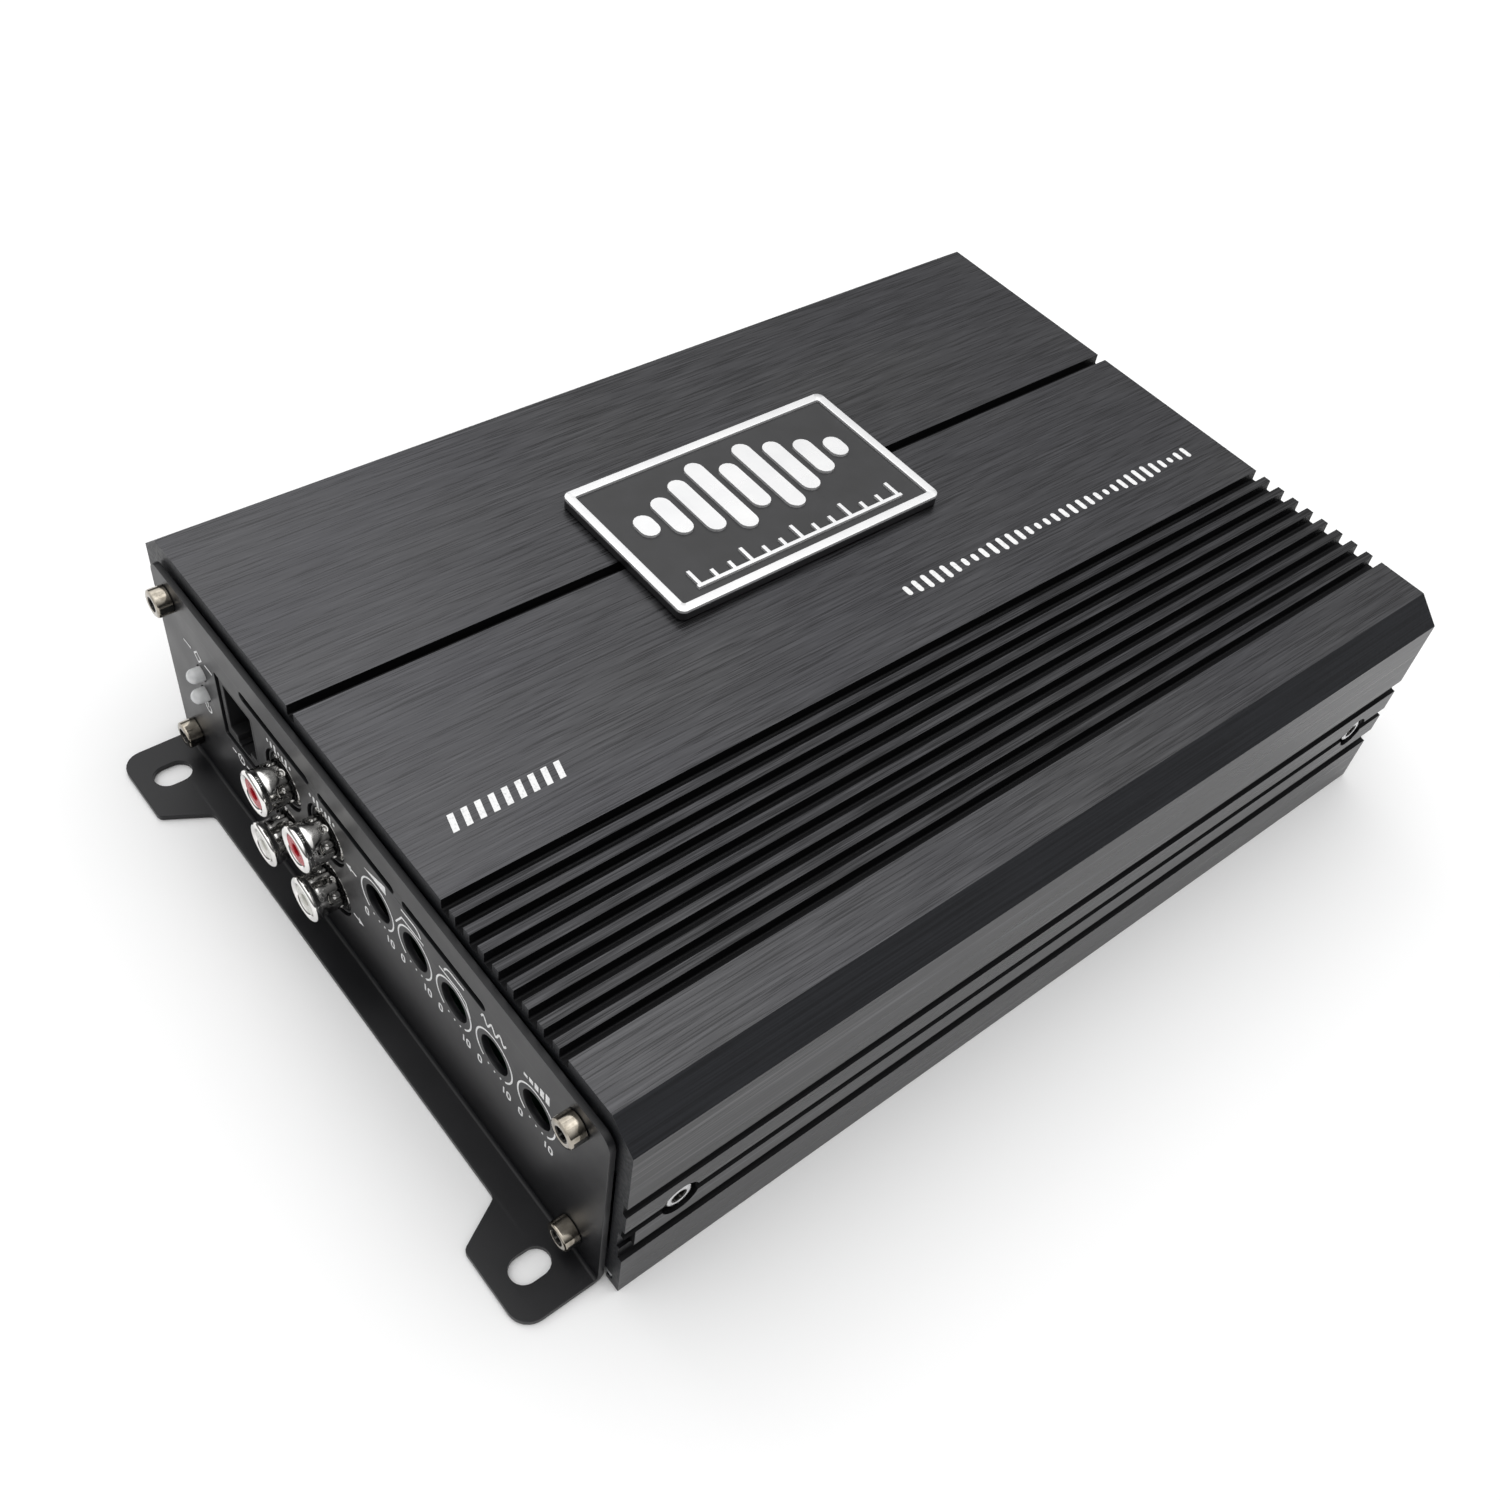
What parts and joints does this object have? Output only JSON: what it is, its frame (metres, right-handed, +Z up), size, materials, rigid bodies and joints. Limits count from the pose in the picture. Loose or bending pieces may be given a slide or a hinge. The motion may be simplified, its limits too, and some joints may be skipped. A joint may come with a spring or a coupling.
{
  "type": "car amplifier",
  "caption": "Compact car audio amplifier: finned black aluminium case with bent steel mounting feet, jacks and trim dials at one end, wire clamps and fuses at the other.",
  "frame": {"origin": "centre of the bounding box's base, on the plane that the mounting feet rest on", "axes": "+X along the case from the control end to the power end, +Y across the case towards the badge's side, +Z up out of the mounting surface"},
  "size_m": [0.232, 0.1494, 0.0538],
  "materials": {
    "black_anodised": "brushed, black anodised",
    "panel_paint": "satin black powder coat on steel",
    "zinc_plated": "zinc plated",
    "nickel_screw": "bright nickel plating",
    "nickel_shell": "bright nickel plating",
    "dark_steel": "oiled steel",
    "badge_metal": "black enamel with bright raised faces",
    "board": "green glass-epoxy laminate",
    "black_plastic": "moulded, satin",
    "red_plastic": "moulded, gloss",
    "white_plastic": "moulded, gloss",
    "clear_lens": "clear cast epoxy",
    "copper_winding": "enamelled copper wire over a ferrite core",
    "ferrite": "coated ferrite",
    "capacitor_sleeve": "shrink sleeve",
    "epoxy": "moulded epoxy",
    "bare_aluminium": "sawn",
    "fuse_plastic": "translucent moulded body"
  },
  "bodies": {
    "case": {"heatsink_extrusion": "black_anodised", "bottom_plate": "zinc_plated", "control_end_panel": "panel_paint", "power_end_panel": "panel_paint", "control_panel_screw_1": "nickel_screw", "control_panel_screw_2": "nickel_screw", "control_panel_screw_3": "nickel_screw", "control_panel_screw_4": "nickel_screw", "power_panel_screw_1": "nickel_screw", "power_panel_screw_2": "nickel_screw", "power_panel_screw_3": "nickel_screw", "power_panel_screw_4": "nickel_screw", "front_clamp_screw_1": "dark_steel", "front_clamp_screw_2": "dark_steel", "rear_clamp_screw_1": "dark_steel", "rear_clamp_screw_2": "dark_steel", "badge": "badge_metal", "circuit_board": "board", "control_board": "board", "gain_control_body": "black_plastic", "low_pass_control_body": "black_plastic", "subsonic_control_body": "black_plastic", "boost_frequency_control_body": "black_plastic", "boost_level_control_body": "black_plastic", "rca_block": "black_plastic", "input_jack_1_shell": "nickel_shell", "input_jack_1_insulator": "red_plastic", "input_jack_2_shell": "nickel_shell", "input_jack_2_insulator": "red_plastic", "output_jack_1_shell": "nickel_shell", "output_jack_1_insulator": "white_plastic", "output_jack_2_shell": "nickel_shell", "output_jack_2_insulator": "white_plastic", "protect_lamp": "clear_lens", "power_lamp": "clear_lens", "lamp_holder": "black_plastic", "remote_port": "black_plastic", "connector_block": "black_plastic", "power_transformer": "copper_winding", "output_inductor": "ferrite", "supply_capacitor_1": "capacitor_sleeve", "supply_capacitor_2": "capacitor_sleeve", "front_transistor_1": "epoxy", "front_transistor_2": "epoxy", "rear_transistor_1": "epoxy", "rear_transistor_2": "epoxy", "front_clamp_bar": "bare_aluminium", "rear_clamp_bar": "bare_aluminium"},
    "gain_dial": {"gain_rotor": "dark_steel"},
    "low_pass_dial": {"low_pass_rotor": "dark_steel"},
    "subsonic_dial": {"subsonic_rotor": "dark_steel"},
    "boost_frequency_dial": {"boost_frequency_rotor": "dark_steel"},
    "boost_level_dial": {"boost_level_rotor": "dark_steel"},
    "supply_clamp": {"supply_terminal_screw": "nickel_screw"},
    "remote_clamp": {"remote_terminal_screw": "nickel_screw"},
    "ground_clamp": {"ground_terminal_screw": "nickel_screw"},
    "speaker_plus_clamp": {"speaker_plus_terminal_screw": "nickel_screw"},
    "speaker_minus_clamp": {"speaker_minus_terminal_screw": "nickel_screw"},
    "fuse_link_1": {"fuse_1": "fuse_plastic"},
    "fuse_link_2": {"fuse_2": "fuse_plastic"}
  },
  "joints": [
    {"name": "gain_turn", "type": "hinge", "parent": "case", "child": "gain_dial", "pos_m": [-0.0988, -0.0068, 0.0304], "axis": [-1, 0, 0], "range_deg": [-135, 135]},
    {"name": "low_pass_turn", "type": "hinge", "parent": "case", "child": "low_pass_dial", "pos_m": [-0.0988, -0.01845, 0.0304], "axis": [-1, 0, 0], "range_deg": [-135, 135]},
    {"name": "subsonic_turn", "type": "hinge", "parent": "case", "child": "subsonic_dial", "pos_m": [-0.0988, -0.0301, 0.0304], "axis": [-1, 0, 0], "range_deg": [-135, 135]},
    {"name": "boost_frequency_turn", "type": "hinge", "parent": "case", "child": "boost_frequency_dial", "pos_m": [-0.0988, -0.04175, 0.0304], "axis": [-1, 0, 0], "range_deg": [-135, 135]},
    {"name": "boost_level_turn", "type": "hinge", "parent": "case", "child": "boost_level_dial", "pos_m": [-0.0988, -0.0534, 0.0304], "axis": [-1, 0, 0], "range_deg": [-135, 135]},
    {"name": "supply_clamp_travel", "type": "slide", "parent": "case", "child": "supply_clamp", "axis": [0, 0, -1], "range_m": [0, 0.003]},
    {"name": "remote_clamp_travel", "type": "slide", "parent": "case", "child": "remote_clamp", "axis": [0, 0, -1], "range_m": [0, 0.003]},
    {"name": "ground_clamp_travel", "type": "slide", "parent": "case", "child": "ground_clamp", "axis": [0, 0, -1], "range_m": [0, 0.003]},
    {"name": "speaker_plus_clamp_travel", "type": "slide", "parent": "case", "child": "speaker_plus_clamp", "axis": [0, 0, -1], "range_m": [0, 0.003]},
    {"name": "speaker_minus_clamp_travel", "type": "slide", "parent": "case", "child": "speaker_minus_clamp", "axis": [0, 0, -1], "range_m": [0, 0.003]},
    {"name": "fuse_1_pull", "type": "slide", "parent": "case", "child": "fuse_link_1", "axis": [1, 0, 0], "range_m": [0, 0.012]},
    {"name": "fuse_2_pull", "type": "slide", "parent": "case", "child": "fuse_link_2", "axis": [1, 0, 0], "range_m": [0, 0.012]}
  ]
}
